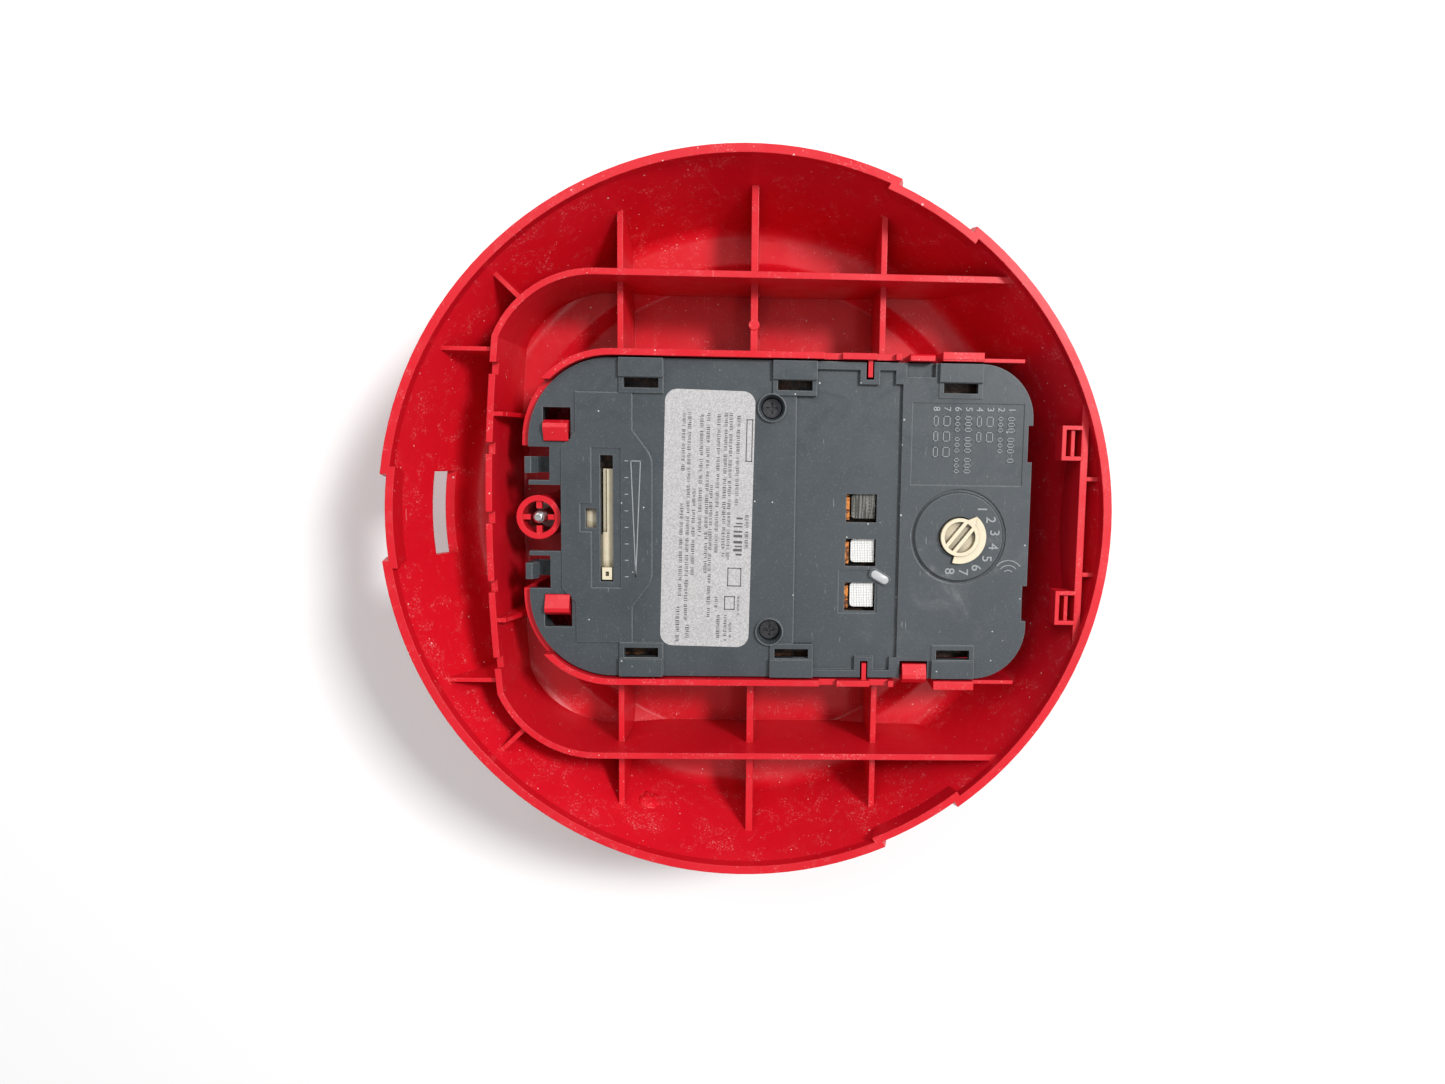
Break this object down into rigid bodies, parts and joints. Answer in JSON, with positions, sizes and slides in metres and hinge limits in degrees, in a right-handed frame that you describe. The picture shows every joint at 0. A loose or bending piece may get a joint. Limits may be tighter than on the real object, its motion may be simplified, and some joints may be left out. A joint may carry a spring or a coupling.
{
  "type": "fire alarm horn strobe",
  "caption": "Round red ceiling fire alarm horn strobe: ribbed dome cover, grey electronics chassis, clear strobe lens, tone knob, brightness slider and captive screw.",
  "frame": {"origin": "centre of the rim plane that lies against the ceiling", "axes": "+Z into the ceiling, away from the lens; +X from the fixing screw towards the tone selector"},
  "size_m": [0.1722, 0.1728, 0.0635],
  "materials": {
    "red_shell": "moulded polycarbonate, satin gloss",
    "grey_chassis": "moulded, fine satin texture",
    "dark_housing": "moulded, satin",
    "label": "printed polyester label",
    "ivory_plastic": "moulded acetal, satin",
    "black_plastic": "moulded, satin",
    "zinc_screw": "zinc plated",
    "black_steel": "black oxide steel",
    "nylon": "natural nylon",
    "clear_lens": "clear polycarbonate",
    "bright_reflector": "vacuum metallised",
    "tube_glass": "borosilicate tube",
    "bare_wire": "tinned wire",
    "piezo_brass": "bare brass",
    "piezo_white": "silvered ceramic",
    "board": "brown phenolic laminate",
    "tinned_pad": "knurled, tin plated",
    "copper": "copper alloy spring leaf",
    "capacitor_sleeve": "heat shrunk sleeve",
    "film_yellow": "epoxy dipped",
    "ferrite": "sintered ferrite",
    "copper_winding": "enamelled copper"
  },
  "bodies": {
    "device": {"cover_shell": "red_shell", "rear_chassis": "grey_chassis", "rating_label": "label", "rotary_switch_body": "black_plastic", "candela_switch_body": "black_plastic", "front_housing": "dark_housing", "strobe_lens": "clear_lens", "reflector": "bright_reflector", "flash_tube": "tube_glass", "tube_electrodes": "bare_wire", "trigger_wire": "bare_wire", "horn_housing": "dark_housing", "horn_cap": "dark_housing", "piezo_disc": "piezo_brass", "piezo_ceramic": "piezo_white", "piezo_leads": "bare_wire", "circuit_board": "board", "contact_pad_1": "tinned_pad", "contact_pad_2": "tinned_pad", "contact_pad_3": "tinned_pad", "contact_strips": "copper", "chassis_screws": "black_steel", "flash_capacitor": "capacitor_sleeve", "capacitor_leads": "bare_wire", "trigger_coil": "black_plastic", "inductor_core": "ferrite", "inductor_winding": "copper_winding", "film_capacitor": "film_yellow", "control_chip": "black_plastic", "chip_pins": "bare_wire", "power_transistors": "black_plastic", "small_components": "black_plastic"},
    "audio_knob": {"audio_select_knob": "ivory_plastic"},
    "candela_bar": {"candela_slider": "ivory_plastic"},
    "retainer": {"screw_retainer": "nylon"},
    "fixing_screw": {"mounting_screw": "zinc_screw"}
  },
  "joints": [
    {"name": "audio_select_turn", "type": "hinge", "parent": "device", "child": "audio_knob", "pos_m": [0.0509, -0.0032, -0.009], "axis": [0, 0, 1], "range_deg": [-156, 0]},
    {"name": "candela_slide", "type": "slide", "parent": "device", "child": "candela_bar", "axis": [0, 1, 0], "range_m": [0, 0.0175]},
    {"name": "screw_float", "type": "slide", "parent": "device", "child": "retainer", "axis": [0, 0, 1], "range_m": [0, 0.004]},
    {"name": "screw_turn", "type": "hinge", "parent": "retainer", "child": "fixing_screw", "pos_m": [-0.0515, 0, -0.0217], "axis": [0, 0, 1], "continuous": true}
  ]
}
